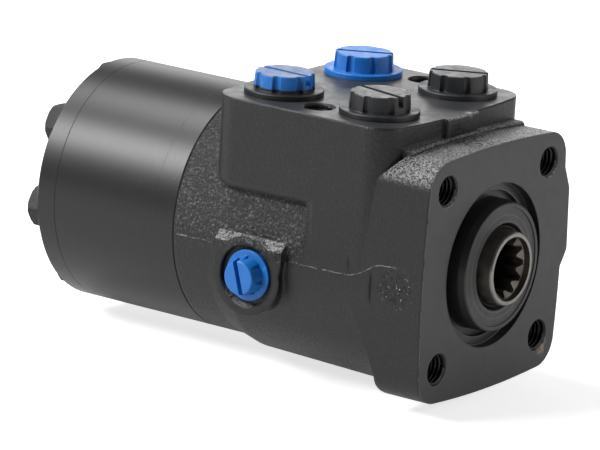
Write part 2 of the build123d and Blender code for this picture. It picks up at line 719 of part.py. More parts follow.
def rotor_outline():
    """Six-tooth curve that stays clear of every ring lobe while it orbits."""
    offset = LOBE_R + MESH_CLEARANCE
    points = []
    count = ROTOR_TEETH * ROTOR_STEPS
    for step in range(count):
        even = 2 * pi * step / count
        angle = even - ROTOR_CROWDING * sin(ROTOR_TEETH * even) / ROTOR_TEETH
        x = LOBE_CIRCLE_R * cos(angle) - ECCENTRICITY * cos(LOBES * angle)
        y = LOBE_CIRCLE_R * sin(angle) - ECCENTRICITY * sin(LOBES * angle)
        dx = -LOBE_CIRCLE_R * sin(angle) + LOBES * ECCENTRICITY * sin(LOBES * angle)
        dy = LOBE_CIRCLE_R * cos(angle) - LOBES * ECCENTRICITY * cos(LOBES * angle)
        speed = hypot(dx, dy)
        points.append((x - offset * dy / speed, y + offset * dx / speed))
    return make_face(Spline(*points, periodic=True))


def spline_solid(minor_r, major_r, low_x, high_x, thinning=0.0):
    """Twelve straight-flanked spline bars between two radii, along the shaft axis."""
    def half_width(radius):
        return (SPLINE_SPACE - thinning) / 2 - SPLINE_FLANK * (radius - SPLINE_PITCH_R)

    low = half_width(minor_r)
    high = half_width(major_r)
    core_r = minor_r - 0.5
    flank = [(core_r, low), (minor_r, low), (major_r, high)]
    outline = [(radius, -half) for radius, half in flank] + flank[::-1]
    tooth = extrude(section_plane(low_x) * make_face(Polyline(*outline, close=True)), high_x - low_x)
    solid = bar(minor_r, low_x, high_x)
    for index in range(SPLINE_TEETH):
        solid += tooth.rotate(Axis.X, 360 * index / SPLINE_TEETH)
    return solid & bar(major_r, low_x, high_x)


def make_gear_rotor():
    low_x = GEAR_REAR_X + ROTOR_SIDE_CLEARANCE
    high_x = PLATE_REAR_X - ROTOR_SIDE_CLEARANCE
    body = extrude(section_plane(low_x) * rotor_outline(), high_x - low_x).rotate(Axis.X, SCREW_PHASE)
    body -= spline_solid(ROTOR_SPLINE_MINOR_R, ROTOR_SPLINE_MAJOR_R, low_x - 1, high_x + 1)
    y, z = around(ECCENTRICITY, 0)
    return Pos(0, y, z) * body


def make_end_cover():
    body = bar(BARREL_R, COVER_REAR_X, GEAR_REAR_X)
    body = chamfer(body.edges().group_by(Axis.X)[0], COVER_RIM_CHAMFER)
    for cut in bolt_cuts(SCREW_HOLE_R, COVER_REAR_X, GEAR_REAR_X):
        body -= cut
    return body


def cover_screw(index, tip_x):
    """One hexagon screw with its chamfered head against the washer."""
    seat_x = COVER_REAR_X - WASHER_THICKNESS
    y, z = around(SCREW_CIRCLE_R, index)
    plane = Plane(origin=(seat_x, y, z), x_dir=(0, 1, 0), z_dir=(-1, 0, 0))
    head = extrude(plane * RegularPolygon(HEX_ACROSS_FLATS / 2, 6, major_radius=False), HEX_HEIGHT)
    corner_r = HEX_ACROSS_FLATS / 2 * 1.12
    head &= plane * Cone(corner_r + HEX_HEIGHT, corner_r - 0.6, HEX_HEIGHT, align=(
        Align.CENTER, Align.CENTER, Align.MIN))
    shank = bar(SCREW_R, seat_x, tip_x, y, z)
    return head + chamfer(shank.edges().group_by(Axis.X)[-1], 0.8)


def make_cover_screws():
    plain = [index for index in range(LOBES) if index != CHECK_SCREW_INDEX]
    return Compound([cover_screw(index, SCREW_TIP_X) for index in plain])


def make_check_screw():
    return cover_screw(CHECK_SCREW_INDEX, CHECK_SCREW_TIP_X)


def make_cover_washers():
    washers = []
    for index in range(LOBES):
        y, z = around(SCREW_CIRCLE_R, index)
        disc = bar(WASHER_R, COVER_REAR_X - WASHER_THICKNESS, COVER_REAR_X, y, z)
        hole = bar(SCREW_HOLE_R, COVER_REAR_X - WASHER_THICKNESS, COVER_REAR_X, y, z)
        washers.append(disc - hole)
    return Compound(washers)


def spring_slot(reach):
    """Slot through sleeve and spool for the leaf springs, from side to side."""
    middle_x = (SPRING_SLOT_FRONT_X + SPRING_SLOT_REAR_X) / 2
    return Pos(middle_x, 0, 0) * Box(SPRING_SLOT_LENGTH, 2 * reach, 2 * SPRING_SLOT_HALF_HEIGHT)


def radial_holes(radius, x, count, outer_r, phase=0.0):
    cuts = []
    for index in range(count):
        y, z = around(outer_r, index, count, phase)
        cuts.append(rod(radius, (x, 0, 0), (x, y, z)))
    return cuts


def make_sleeve():
    body = tube(SLEEVE_R, SLEEVE_INNER_R, SLEEVE_REAR_X, SLEEVE_FRONT_X)
    seat_r = RETAINER_R - RETAINER_THICKNESS - RUN_CLEARANCE
    body -= tube(SLEEVE_R + 1, seat_r, SPRING_SLOT_REAR_X - 1, SPRING_SLOT_FRONT_X + 1)
    body -= spring_slot(SLEEVE_R + 1)
    body -= rod(CROSS_PIN_R, (CROSS_PIN_X, 0, -SLEEVE_R - 1), (CROSS_PIN_X, 0, SLEEVE_R + 1))
    for x in (LEFT_CHANNEL_X, RIGHT_CHANNEL_X, PRESSURE_CHANNEL_X, TANK_CHANNEL_X):
        for cut in radial_holes(SLEEVE_PORT_R, x, ROTOR_TEETH, SLEEVE_R + 1, SLEEVE_PORT_PHASE):
            body -= cut
    for cut in radial_holes(SLEEVE_TIMING_R, COMMUTATION_X, 2 * ROTOR_TEETH, SLEEVE_R + 1):
        body -= cut
    return body


def make_spool():
    mouth_x = SPOOL_NOSE_X - SPLINE_SETBACK
    spline_end_x = mouth_x - SPLINE_LENGTH
    web_rear_x = SPOOL_WEB_X - SPOOL_WEB_THICKNESS
    rear_x = SLEEVE_REAR_X + SPOOL_END_SETBACK
    shoulder_x = SLEEVE_FRONT_X - SPOOL_SHOULDER_SETBACK
    root_r = SPLINE_MAJOR_R + SPLINE_RIM
    body = turned(
        (rear_x, SPOOL_CAVITY_R),
        (rear_x, SPOOL_R),
        (shoulder_x, SPOOL_R),
        (shoulder_x, SPOOL_NOSE_R),
        (SPOOL_NOSE_X - SPOOL_NOSE_CHAMFER[0], SPOOL_NOSE_R),
        (SPOOL_NOSE_X, SPOOL_NOSE_R - SPOOL_NOSE_CHAMFER[1]),
        (SPOOL_NOSE_X, NOSE_MOUTH_R),
        (mouth_x, NOSE_MOUTH_R),
        (mouth_x, root_r),
        (spline_end_x, root_r),
        (spline_end_x, SPLINE_MAJOR_R),
        (SPOOL_WEB_X, SPLINE_MAJOR_R),
        (SPOOL_WEB_X, 0),
        (web_rear_x, 0),
        (web_rear_x, SPOOL_CAVITY_R),
    )
    teeth = bar(root_r, spline_end_x, mouth_x)
    teeth -= spline_solid(SPLINE_MINOR_R, SPLINE_MAJOR_R, spline_end_x - 1, mouth_x + 1)
    body += teeth
    lead_x = mouth_x - SPLINE_LEAD_IN
    body -= turned((lead_x, 0), (lead_x, SPLINE_MINOR_R), (mouth_x, NOSE_MOUTH_R), (mouth_x, 0))
    body -= spring_slot(SPOOL_R + 1)
    pin_room = SPOOL_R * sin(radians(DEFLECTION)) + CROSS_PIN_R + FORK_CLEARANCE
    body -= rod(pin_room, (CROSS_PIN_X, 0, -SPOOL_R - 1), (CROSS_PIN_X, 0, SPOOL_R + 1))
    for index in range(ROTOR_TEETH):
        y, z = around(SPOOL_R, index + 0.5, ROTOR_TEETH, 0)
        body -= bar(SPOOL_GROOVE_R, COMMUTATION_X - 2 * SPOOL_GROOVE_R, PRESSURE_CHANNEL_X, y, z)
    for cut in radial_holes(SPOOL_GROOVE_R, RIGHT_CHANNEL_X, ROTOR_TEETH, SPOOL_R + 1):
        body -= cut
    return body


def make_cross_pin():
    end = SLEEVE_R - 2 * SEAL_CLEARANCE
    radius = CROSS_PIN_R - CROSS_PIN_CLEARANCE
    pin = rod(radius, (CROSS_PIN_X, 0, -end), (CROSS_PIN_X, 0, end))
    return pin & bar(SLEEVE_R - SEAL_CLEARANCE, CROSS_PIN_X - CROSS_PIN_R, CROSS_PIN_X + CROSS_PIN_R)


def leaf_length():
    return sqrt((RETAINER_R - RETAINER_THICKNESS) ** 2 - SPRING_SLOT_HALF_HEIGHT**2) - LEAF_SIDE_PLAY


def make_springs_flat():
    middle_x = (SPRING_SLOT_FRONT_X + SPRING_SLOT_REAR_X) / 2
    offset = SPRING_SLOT_HALF_HEIGHT - FLAT_LEAF / 2
    leaf = Box(SPRING_SLOT_LENGTH - LEAF_SIDE_PLAY, 2 * leaf_length(), FLAT_LEAF)
    return Compound([Pos(middle_x, 0, side * offset) * leaf for side in (-1, 1)])


def arched_leaf(end_z, middle_z):
    """Leaf of even thickness whose ends are at end_z and middle at middle_z."""
    reach = leaf_length()
    width = SPRING_SLOT_LENGTH - LEAF_SIDE_PLAY
    top_z = end_z + ARCHED_LEAF
    low = ThreePointArc((-reach, end_z), (0, middle_z), (reach, end_z))
    high = ThreePointArc((reach, top_z), (0, middle_z + ARCHED_LEAF), (-reach, top_z))
    ends = [Line((reach, end_z), (reach, top_z)), Line((-reach, top_z), (-reach, end_z))]
    face = make_face([low, high, *ends])
    return extrude(section_plane(SPRING_SLOT_REAR_X + LEAF_SIDE_PLAY / 2) * face, width)


def make_springs_arched():
    top = SPRING_SLOT_HALF_HEIGHT - FLAT_LEAF
    leaves = []
    for layer in (1, 2):
        end_z = top - layer * ARCHED_LEAF
        middle_z = (2 - layer) * ARCHED_LEAF
        leaves.append(arched_leaf(end_z, middle_z))
        leaves.append(mirror(arched_leaf(end_z, middle_z), Plane.XY))
    return Compound(leaves)


def make_spring_ring():
    low_x = SPRING_SLOT_REAR_X - SPRING_RING_LAP
    high_x = SPRING_SLOT_FRONT_X + SPRING_RING_LAP
    return tube(RETAINER_R, RETAINER_R - RETAINER_THICKNESS, low_x, high_x)


def tilted(shape):
    """Leans a part of the cardan shaft towards the rotor's displaced centre."""
    y, z = around(1, 0)
    return shape.rotate(Axis((CROSS_PIN_X, 0, 0), (0, z, -y)), degrees(CARDAN_TILT))


def make_cardan_shaft():
    rear_x = CARDAN_SPLINE_X - CARDAN_SPLINE_LENGTH / 2
    front_x = CARDAN_SPLINE_X + CARDAN_SPLINE_LENGTH / 2
    head_rear_x = CROSS_PIN_X - CARDAN_HEAD_HALF
    head_front_x = CROSS_PIN_X + CARDAN_HEAD_HALF
    rear_neck = (head_rear_x, CARDAN_NECK_R)
    front_neck = (head_front_x, CARDAN_NECK_R)
    crown = ThreePointArc(rear_neck, (CROSS_PIN_X, CARDAN_HEAD_R), front_neck)
    sides = Polyline(front_neck, (head_front_x, 0), (head_rear_x, 0), rear_neck)
    head = revolve(make_face([crown, sides]), Axis.X)
    shank = bar(CARDAN_SHANK_R, rear_x, CROSS_PIN_X)
    fork_width = 2 * (CROSS_PIN_R + FORK_CLEARANCE)
    fork = Box(2 * CARDAN_HEAD_HALF, fork_width, 4 * CARDAN_HEAD_R, align=(
        Align.MIN, Align.CENTER, Align.CENTER))
    teeth = spline_solid(CARDAN_ROOT_R, CARDAN_TIP_R, rear_x, front_x, CARDAN_TOOTH_THINNING)
    body = head + shank - Pos(CROSS_PIN_X - CROSS_PIN_R - 1, 0, 0) * fork
    return tilted(body + teeth)


def make_spacer():
    y, z = around(ECCENTRICITY, 0)
    rear_x = GEAR_REAR_X + SPACER_END_CLEARANCE
    body = bar(SPACER_R, rear_x, rear_x + SPACER_LENGTH, y, z)
    return chamfer(body.edges().filter_by(GeomType.CIRCLE), 0.8)


def make_dust_seal():
    rear_x = NOSE_BOSS_X - DUST_SEAL_DEPTH
    inner_r = SPOOL_NOSE_R + SEAL_CLEARANCE
    return turned(
        (rear_x, inner_r + SEAL_LIP_RELIEF),
        (rear_x, DUST_SEAL_R),
        (DUST_SEAL_FACE_X, DUST_SEAL_R),
        (DUST_SEAL_FACE_X, LIP_OUTER_R),
        (SEAL_LIP_ROOT_X, LIP_R),
        (LIP_TIP_X, LIP_R),
        (LIP_TIP_X - SEAL_LIP_RELIEF, inner_r),
        (SEAL_LIP_HEEL_X, inner_r),
    )


def make_shaft_seal_ring():
    inner_r = SPOOL_NOSE_R + SEAL_CLEARANCE
    front_x = SHAFT_SEAL_FRONT_X - 2 * SEAL_CLEARANCE
    bevel_length, bevel_height = SHAFT_SEAL_BEVEL
    return turned(
        (FRONT_RACE_X, inner_r + bevel_height),
        (FRONT_RACE_X, SHAFT_SEAL_R),
        (front_x, SHAFT_SEAL_R),
        (front_x, inner_r + bevel_height),
        (front_x - bevel_length, inner_r),
        (FRONT_RACE_X + bevel_length, inner_r),
    )


def thrust_race(front_x, thickness):
    body = tube(SLEEVE_R, SHAFT_BORE_R + CAGE_SIDE_PLAY, front_x - thickness, front_x)
    return chamfer(body.edges().filter_by(GeomType.CIRCLE).group_by(SortBy.RADIUS)[-1], 0.3)


def needle_places(shape):
    """Copies of one radial roller or pocket, evenly spaced round the bearing."""
    x = NEEDLE_FRONT_X - FRAME_GAP - NEEDLE_R
    return [Pos(x, 0, 0) * shape.rotate(Axis.X, 360 * i / NEEDLE_COUNT) for i in range(NEEDLE_COUNT)]


def make_thrust_needles():
    middle_r = (SLEEVE_R + SHAFT_BORE_R) / 2
    roller = rod(NEEDLE_R, (0, middle_r - NEEDLE_LENGTH / 2, 0), (0, middle_r + NEEDLE_LENGTH / 2, 0))
    return Compound(needle_places(roller))


def make_needle_cage():
    middle_r = (SLEEVE_R + SHAFT_BORE_R) / 2
    x = NEEDLE_FRONT_X - FRAME_GAP - NEEDLE_R
    outer_r = SLEEVE_R - CAGE_SIDE_PLAY
    inner_r = SHAFT_BORE_R + 2 * CAGE_SIDE_PLAY
    body = tube(outer_r, inner_r, x - CAGE_THICKNESS / 2, x + CAGE_THICKNESS / 2)
    pocket_length = NEEDLE_LENGTH + CAGE_SIDE_PLAY
    pocket = Box(2 * CAGE_THICKNESS, pocket_length, 2 * NEEDLE_R + NEEDLE_POCKET_PLAY)
    for cut in needle_places(Pos(0, middle_r, 0) * pocket):
        body -= cut
    return body


def make_check_ball():
    y, z = around(SCREW_CIRCLE_R, CHECK_SCREW_INDEX)
    return Pos(CHECK_BALL_X, y, z) * Sphere(CHECK_BALL_R)


def make_check_bushing():
    y, z = around(SCREW_CIRCLE_R, CHECK_SCREW_INDEX)
    body = bar(TAP_R, BUSHING_REAR_X, CHECK_CHAMBER_REAR_X, y, z)
    body -= bar(BUSHING_BORE_R, BUSHING_REAR_X - 1, CHECK_CHAMBER_REAR_X + 1, y, z)
    slot = Box(BUSHING_SLOT[0], 2 * TAP_R, BUSHING_SLOT[1])
    return body - Pos(BUSHING_REAR_X, y, z) * slot


def make_check_pin():
    y, z = around(SCREW_CIRCLE_R, CHECK_SCREW_INDEX)
    body = bar(STOP_PIN_R, CHECK_SCREW_TIP_X, STOP_PIN_X, y, z)
    return chamfer(body.edges().group_by(Axis.X)[-1], 0.3)


def relief_turned(*points):
    """Solid turned about the relief valve's axis, from (distance along +Y, radius) corners."""
    body = turned(*points).rotate(Axis.Z, 90)
    return Pos(RELIEF_X, 0, RELIEF_Z) * body


def make_relief_cone():
    tip_y = RELIEF_SEAT_Y - RELIEF_CONE_TIP[0]
    collar_y = RELIEF_SEAT_Y + RELIEF_COLLAR
    guide_y = RELIEF_SEAT_Y + RELIEF_GUIDE[0]
    return relief_turned(
        (tip_y, 0),
        (tip_y, RELIEF_CONE_TIP[1]),
        (RELIEF_SEAT_Y + RELIEF_CONE_FLARE, RELIEF_CONE_R),
        (collar_y, RELIEF_CONE_R),
        (collar_y, RELIEF_GUIDE[1]),
        (guide_y, RELIEF_GUIDE[1]),
        (guide_y, 0),
    )


def relief_shoulder_y():
    return BOSS_HIGH_Y - RELIEF_PLUG_SETBACK - RELIEF_PLUG_LENGTH


def make_relief_spring():
    """Helical spring between the cone's collar and the adjusting screw."""
    low_y = RELIEF_SEAT_Y + RELIEF_COLLAR + RELIEF_LIFT + RELIEF_WIRE_R
    high_y = relief_shoulder_y() - ADJUSTER_LENGTH - RELIEF_WIRE_R
    height = high_y - low_y
    path = Helix(height / RELIEF_SPRING_TURNS, height, RELIEF_SPRING_R)
    start = path @ 0
    wire = sweep(Plane(origin=start, z_dir=path % 0) * Circle(RELIEF_WIRE_R), path)
    return Pos(RELIEF_X, low_y, RELIEF_Z) * wire.rotate(Axis.X, -90)


def hex_socket(across_flats, face_y, depth):
    plane = Plane(origin=(RELIEF_X, face_y, RELIEF_Z), x_dir=(1, 0, 0), z_dir=(0, 1, 0))
    return extrude(plane * RegularPolygon(across_flats / 2, 6, major_radius=False), -depth)


def make_relief_adjuster():
    high_y = relief_shoulder_y()
    low_y = high_y - ADJUSTER_LENGTH
    body = relief_turned((low_y, 0), (low_y, RELIEF_BORE_R), (high_y, RELIEF_BORE_R), (high_y, 0))
    return body - hex_socket(ADJUSTER_SOCKET[0], high_y, ADJUSTER_SOCKET[1])


def make_relief_plug():
    low_y = relief_shoulder_y()
    high_y = low_y + RELIEF_PLUG_LENGTH
    neck_r = RELIEF_PLUG_R - RELIEF_O_RING
    neck_end_y = low_y + RELIEF_O_RING + SEAL_CLEARANCE
    body = relief_turned(
        (low_y, 0),
        (low_y, neck_r),
        (neck_end_y, neck_r),
        (neck_end_y, RELIEF_PLUG_R),
        (high_y - RELIEF_PLUG_CHAMFER, RELIEF_PLUG_R),
        (high_y, RELIEF_PLUG_R - RELIEF_PLUG_CHAMFER),
        (high_y, 0),
    )
    return body - hex_socket(RELIEF_PLUG_SOCKET[0], high_y, RELIEF_PLUG_SOCKET[1])


def make_relief_plug_seal():
    low_y = relief_shoulder_y()
    neck = RELIEF_PLUG_R - RELIEF_O_RING
    high_y = low_y + RELIEF_O_RING
    body = relief_turned((low_y, neck), (low_y, RELIEF_PLUG_R), (high_y, RELIEF_PLUG_R), (high_y, neck))
    return fillet(body.edges().filter_by(GeomType.CIRCLE), RELIEF_O_RING / 5)


def protection_plug(head_r, taper, height, flange_r, flange, stem_r, stem_length, slot_width):
    """Fluted and slotted plastic plug standing up along +Z, its flange resting at zero."""
    up = (Align.CENTER, Align.CENTER, Align.MIN)
    head = Pos(0, 0, flange) * Cone(head_r, head_r - taper, height, align=up)
    head = fillet(head.edges().group_by(Axis.Z)[-1], PLUG_EDGE)
    groove = Pos(head_r * PLUG_FLUTE_PLACE, 0, flange) * Cylinder(
        head_r * PLUG_FLUTE_SHARE, height + 1, align=up)
    for index in range(PLUG_FLUTES):
        head -= groove.rotate(Axis.Z, 360 * (index + 0.5) / PLUG_FLUTES)
    slot = Pos(0, 0, flange + height) * Box(3 * head_r, slot_width, 2 * PLUG_SLOT_DEPTH)
    rim = fillet(Cylinder(flange_r, flange, align=up).edges().group_by(Axis.Z)[-1], PLUG_RIM_EDGE)
    stem = Pos(0, 0, -stem_length) * Cylinder(stem_r, stem_length, align=up)
    hollow = Pos(0, 0, -stem_length) * Cylinder(stem_r - PLUG_WALL, stem_length, align=up)
    return head - slot + rim + (stem - hollow)


def make_port_plug(name, x, y):
    body = protection_plug(
        PLUG_HEAD_R, PLUG_HEAD_TAPER, PLUG_HEAD_HEIGHT, PLUG_FLANGE_R, PLUG_FLANGE,
        PORT_BORE_R - PLUG_STEM_CLEARANCE, PLUG_STEM_LENGTH, PLUG_SLOT_WIDTH)
    return Pos(x, y, PORT_FACE_Z) * body.rotate(Axis.Z, SLOT_ANGLES[name])


def make_ls_plug():
    body = protection_plug(
        LS_PLUG_HEAD_R, LS_PLUG_HEAD_TAPER, LS_PLUG_HEAD_HEIGHT, LS_PLUG_FLANGE_R, LS_PLUG_FLANGE,
        LS_BORE_R - PLUG_STEM_CLEARANCE, LS_PLUG_STEM_LENGTH, LS_PLUG_SLOT_WIDTH)
    body = body.rotate(Axis.Z, LS_PLUG_SLOT_ANGLE).rotate(Axis.X, 90)
    return Pos(LS_X, LS_FACE_Y + LS_SPOT_DEPTH, LS_Z) * body


def make_parts():
    return {
        "housing": make_housing(),
        "dust_seal": make_dust_seal(),
        "shaft_seal_ring": make_shaft_seal_ring(),
        "thrust_race_front": thrust_race(FRONT_RACE_X, FRONT_RACE),
        "thrust_needles": make_thrust_needles(),
        "needle_cage": make_needle_cage(),
        "thrust_race_rear": thrust_race(REAR_RACE_X, REAR_RACE),
        "sleeve": make_sleeve(),
        "spool": make_spool(),
        "cross_pin": make_cross_pin(),
        "springs_flat": make_springs_flat(),
        "springs_arched": make_springs_arched(),
        "spring_ring": make_spring_ring(),
        "cardan_shaft": make_cardan_shaft(),
        "spacer": make_spacer(),
        "distributor_plate": make_distributor_plate(),
        "gear_ring": make_gear_ring(),
        "gear_rotor": make_gear_rotor(),
        "o_ring_plate": make_o_ring(REAR_X, -1),
        "o_ring_gear_front": make_o_ring(PLATE_REAR_X, -1),
        "o_ring_gear_rear": make_o_ring(GEAR_REAR_X, 1),
        "end_cover": make_end_cover(),
        "cover_screws": make_cover_screws(),
        "cover_screw_check": make_check_screw(),
        "cover_washers": make_cover_washers(),
        "check_valve_ball": make_check_ball(),
        "check_valve_bushing": make_check_bushing(),
        "check_valve_pin": make_check_pin(),
        "relief_cone": make_relief_cone(),
        "relief_spring": make_relief_spring(),
        "relief_adjuster": make_relief_adjuster(),
        "relief_plug": make_relief_plug(),
        "relief_plug_seal": make_relief_plug_seal(),
        "plug_p": make_port_plug("p", PORT_REAR_X, -PORT_Y),
        "plug_t": make_port_plug("t", PORT_REAR_X, PORT_Y),
        "plug_l": make_port_plug("l", PORT_FRONT_X, -PORT_Y),
        "plug_r": make_port_plug("r", PORT_FRONT_X, PORT_Y),
        "plug_ls": make_ls_plug(),
    }


if __name__ == "__main__":
    os.makedirs("parts", exist_ok=True)
    for node, shape in make_parts().items():
        export_step(shape, f"parts/{node}.step")
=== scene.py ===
from math import cos, pi, radians, sin
from types import SimpleNamespace

import bpy
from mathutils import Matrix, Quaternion, Vector


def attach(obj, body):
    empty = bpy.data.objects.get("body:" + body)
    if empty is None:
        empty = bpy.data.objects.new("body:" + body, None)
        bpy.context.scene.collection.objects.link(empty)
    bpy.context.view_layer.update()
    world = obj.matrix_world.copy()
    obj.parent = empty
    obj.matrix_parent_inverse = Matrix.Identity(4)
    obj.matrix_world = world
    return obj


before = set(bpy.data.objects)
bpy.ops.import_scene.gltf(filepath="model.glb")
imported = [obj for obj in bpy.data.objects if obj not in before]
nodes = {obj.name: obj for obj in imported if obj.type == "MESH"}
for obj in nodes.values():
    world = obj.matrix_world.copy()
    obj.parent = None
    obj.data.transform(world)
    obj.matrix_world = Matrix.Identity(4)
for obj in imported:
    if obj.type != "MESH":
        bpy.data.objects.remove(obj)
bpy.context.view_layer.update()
MM = 0.001

# Tapped holes, in millimetres
PORT_FACE_Z = 47.6
M10_HOLES_ON_FLANGE = [(y, z) for y in (-29.17, 29.17) for z in (-29.17, 29.17)]
M10_HOLES_ON_BLOCK = [(-51.0, -29.6), (-51.0, 29.6)]
THREAD_R = 4.95
THREAD_DEPTH = 0.62
THREAD_PITCH = 1.5
THREAD_TURNS = 9
THREAD_STEPS = 36
THREAD_START = 0.9
THREAD_FOOT = 0.46
THREAD_CREST = 0.1

# Zones of the casting: where each begins and where it is full, in millimetres
FLANGE_FACE_X = (-0.4, -0.1)
FLANGE_RIM_X = (-1.6, -0.7)
PORT_FACE_STEP_Z = (47.2, 47.5)
NOSE_R = (27.6, 27.2)
NOSE_X = (-12.0, -8.0)
NOSE_RINGS_R = (26.9, 24.2)
NOSE_RING_WIDTH = (0.25, 0.1)
BEHIND_BLOCK_X = (-45.5, -48.0)
BARREL_R = (43.5, 41.5)
BARREL_Z = (-6.0, 4.0)
LEDGE_TOP_Z = (19.0, 16.5)
LEDGE_FOOT_Z = (-3.0, 2.0)
SHOULDER_X = (-31.0, -27.0)
SHOULDER_Z = (18.0, 26.0)
PAD_X = (-45.0, -50.0)
PAD_Y = (-38.5, -39.5)

# Parting line of the mould, in millimetres
SEAM_STEP_X = (-29.0, -15.5)
SEAM_REAR_Z = -1.7
SEAM_FRONT_Z = 4.2
SEAM_WANDER = 2.2
SEAM_THIN = 0.1
SEAM_THICK = 0.42
SEAM_BEHIND_PAD_X = (-81.5, -83.5)
SEAM_AHEAD_OF_PAD_X = (-53.5, -50.0)
SEAM_STRONG_X = (-46.0, -41.0)
SEAM_END_X = (-8.5, -13.0)

# Spots on the casting: centre and radius in millimetres, noise scale, noise levels
FRONT_CHIP = ((-14.0, 0.8, 47.0), 1.9, 420.0, 0.4, 0.5)
RUST_SPOT = ((0.0, 32.2, -33.6), 4.2, 500.0, 0.42, 0.56)
RUB_MARK = ((0.0, -2.0, -34.5), 9.0, 700.0, 0.5, 0.64)
SIDE_PITS = ((-10.5, -40.5, -2.5), 8.0, 760.0, 0.5, 0.57)
TOP_PITS = ((-7.0, -6.0, 41.0), 9.5, 620.0, 0.5, 0.58)
PAD_HOLLOW = ((-53.6, -42.2, -0.6), 2.8, 330.0, 0.3, 0.45)

# Joints of the gear stack: place along the shaft and half width, in millimetres
STACK_JOINTS = ((-98.4, 0.6), (-148.2, 0.16))

# Shaft end, seal and plugs, in millimetres
SPOOL_END_X = (6.6, 6.9)
SPOOL_RIM_R = (10.55, 10.75)
SPOOL_INSIDE_R = (10.9, 10.5)
SPOOL_INSIDE_X = (7.2, 6.0)
SPOOL_SHADE_DEPTH_X = (-2.0, 3.5)
SEAL_RINGS_R = (15.0, 17.0, 19.4)
SEAL_RING_WIDTH = (0.28, 0.1)
PLUG_CROWN_Z = (52.5, 53.5)
PLUG_RIM_Z = (50.6, 50.3)
OVERSPRAY_EDGE = (-49.5, -54.5)
OVERSPRAY_SLANT = 0.3
OVERSPRAY_WANDER = 6.0

# How far a surface is turned towards a direction: where that begins to count, and where it is full
SQUARE_ON = (0.9, 0.99)
MOSTLY_ON = (0.5, 0.9)
SEAL_FRONT = (0.6, 0.95)
SHOULDER_SLOPE = (0.1, 0.5)
PAD_SLOPE = (0.3, 0.6)
LEFT_SIDE = (-0.6, -0.85)
WORN_TURN = (0.985, 0.9)

# What most of a noise lies between
USUAL_NOISE = (0.3, 0.7)

# Noise scales, in waves per metre
GRAIN_SCALE = 1250.0
COARSE_GRAIN_SCALE = 820.0
GRAIN_AND_SPARKLE_SCALE = 1100.0
GLINT_SCALE = 1500.0
FINE_GRAIN_SCALE = 2600.0
PINHOLE_SCALE = 420.0
PEEL_SCALE = 1500.0

# Colours, linear
CAST_TONES = ((0.0042, 0.0044, 0.0048), (0.0075, 0.0078, 0.0083))
# Grain colour: partly uncoated grains, partly painted sparkle
GRAIN_AND_SPARKLE_TONE = (0.14, 0.14, 0.14)
# Painted glint: a highlight painted on the shoulder and the pad's top
GLINT_TONE = (0.3, 0.3, 0.302)
CAST_WORN_TONE = (0.09, 0.088, 0.085)
# Machined faces: their own greyer tone plus painted light
FLANGE_FACE_MACHINED_AND_LIT_TONES = ((0.02, 0.0205, 0.0215), (0.034, 0.0345, 0.036))
PORT_FACE_MACHINED_AND_LIT_TONES = ((0.02, 0.0205, 0.022), (0.042, 0.043, 0.045))
RIM_TONE = (0.22, 0.215, 0.21)
SEAM_TONE = (0.30, 0.295, 0.285)
CHIP_TONE = (0.34, 0.33, 0.32)
RUST_TONES = ((0.17, 0.095, 0.055), (0.30, 0.26, 0.22))
RUB_TONE = (0.075, 0.075, 0.078)
# Painted shade for pits and hollows
PIT_SHADE_TONE = (0.002, 0.002, 0.0022)
FLECK_TONE = (0.5, 0.49, 0.47)
NOSE_TONES = ((0.014, 0.0135, 0.013), (0.026, 0.025, 0.024))
NOSE_RING_TONE = (0.12, 0.118, 0.114)
TURNED_TONES = ((0.0058, 0.006, 0.0065), (0.008, 0.0083, 0.009))
TURNED_WORN_TONE = (0.10, 0.10, 0.098)
SPECK_TONE = (0.1, 0.1, 0.1)
SCRATCH_TONE = (0.05, 0.05, 0.052)
JOINT_TONE = (0.0008, 0.0008, 0.0009)
GROUND_STEEL = (0.46, 0.45, 0.44)
SPRING_STEEL = (0.3, 0.3, 0.32)
SPOOL_OUTER_TONES = ((0.10, 0.09, 0.08), (0.24, 0.22, 0.195))
SPOOL_INNER_TONES = ((0.10, 0.087, 0.073), (0.28, 0.25, 0.215))
# Painted shade deep in the spline bore
SPOOL_DEEP_SHADE_TONES = ((0.02, 0.018, 0.016), (0.07, 0.062, 0.054))
SPOOL_RIM_TONES = ((0.13, 0.125, 0.118), (0.34, 0.33, 0.31))
RUBBER_TONES = ((0.02, 0.0195, 0.019), (0.045, 0.044, 0.043))
RUBBER_RING_TONE = (0.11, 0.108, 0.105)
BLUE = ((0.006, 0.125, 0.43), (0.013, 0.18, 0.59))
BLACK_PLASTIC = ((0.010, 0.0105, 0.012), (0.022, 0.023, 0.026))
OVERSPRAY_TONES = ((0.012, 0.0125, 0.014), (0.19, 0.195, 0.20))
PLUG_RIM_TONE = (0.012, 0.0125, 0.014)
FLOOR_TONES = ((0.60, 0.60, 0.60), (0.64, 0.64, 0.64))
WHITE = (1.0, 1.0, 1.0, 1.0)

# Finish of the paint
PAINT_SPECULAR = 0.45
TURNED_SHINE = (0.37, 0.39)
SCREW_SHINE = (0.58, 0.68)
SCREW_TONE = 0.6

# Studio: lengths in metres, powers in watts, the floor's height in millimetres
FLOOR_Z = -45.1
FLOOR_HALF = 6.0
FLOOR_SEEN_LIFT = 0.72
FLOOR_MIRRORED_LIFT = 0.3
WORLD_STRENGTH = 0.11
LAMP_AIM = (-0.075, 0.0, 0.0)
LAMPS = (
    ("key", (-0.52, -0.61, 0.61), 1.5, (0.8, 0.42), 24),
    ("overhead", (-0.45, -0.02, 0.88), 1.6, (0.6, 0.6), 15),
    ("front", (0.9, 0.35, 0.35), 1.8, (1.2, 1.0), 12),
    ("rear", (-0.56, 0.79, 0.27), 2.0, (2.4, 0.8), 14),
)
CAMERA_PLACE = (0.7594, -1.19033, 0.37432)
CAMERA_AIM = (-0.07595, -0.00114, -0.00147)
CAMERA_ROLL = 3.279
CAMERA_LENS = 272.69
CAMERA_SENSOR = 36.0


